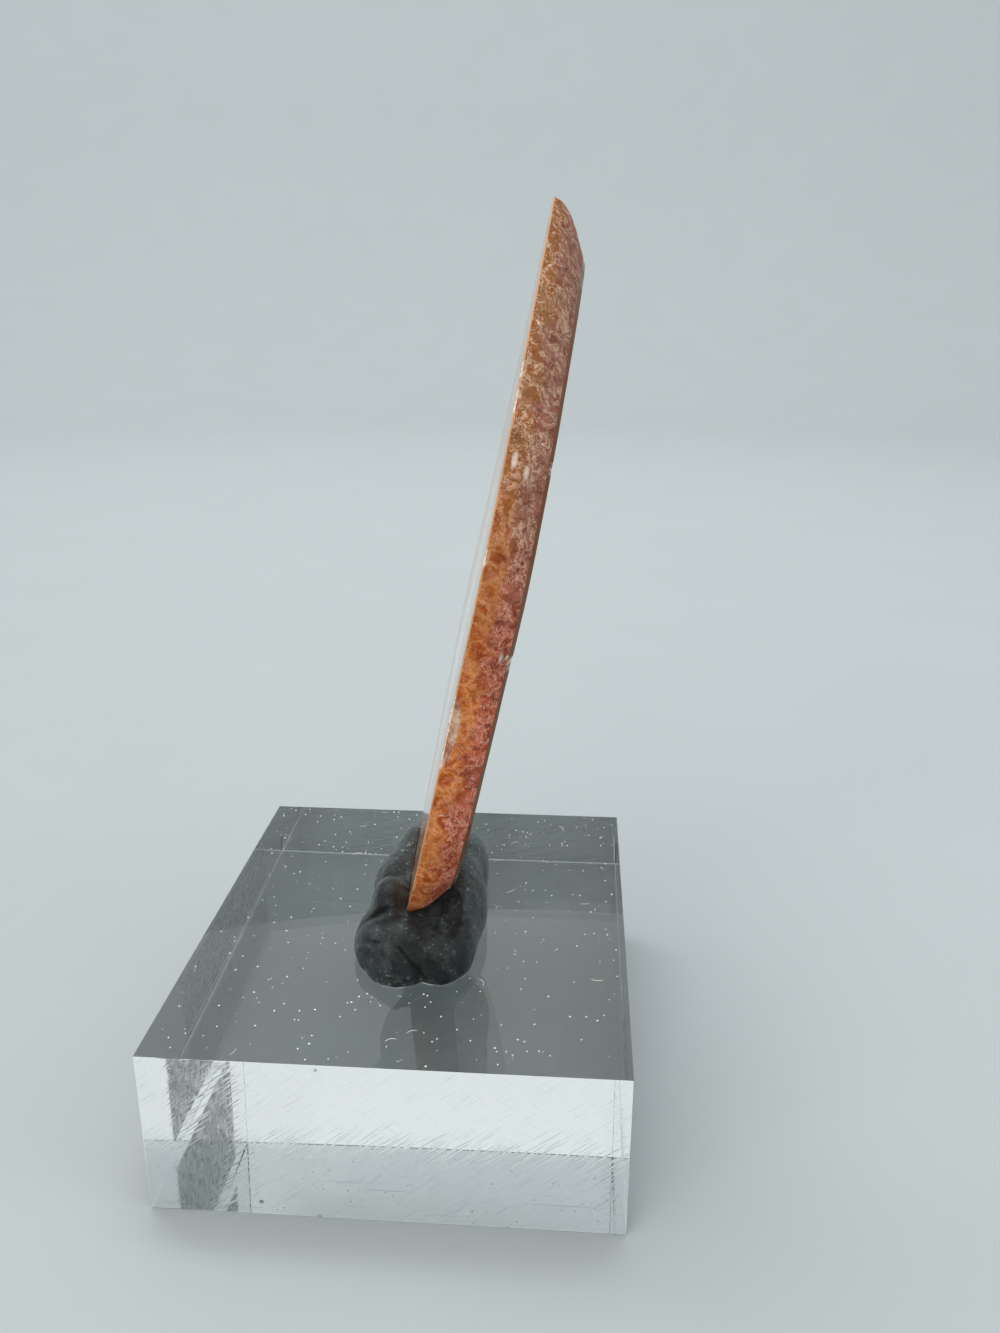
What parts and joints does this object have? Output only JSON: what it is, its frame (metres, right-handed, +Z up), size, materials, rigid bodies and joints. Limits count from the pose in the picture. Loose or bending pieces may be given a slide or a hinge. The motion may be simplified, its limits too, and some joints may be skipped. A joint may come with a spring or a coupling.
{
  "type": "agate slice on a clear block",
  "caption": "Thin agate slice with a raw rind rim, standing on edge in a lump of black mineral tack on a clear acrylic display block.",
  "frame": {"origin": "centre of the acrylic block's underside, on the surface that it stands on", "axes": "+Z up, +X to the right of someone facing the slab's front rim, +Y away from them along the slab's width"},
  "size_m": [0.0508, 0.058, 0.1024],
  "materials": {
    "agate": "satin",
    "mineral_tack": "matte",
    "clear_acrylic": "polished"
  },
  "bodies": {
    "root": {"agate_slice": "agate", "putty": "mineral_tack", "acrylic_block": "clear_acrylic"}
  },
  "joints": []
}
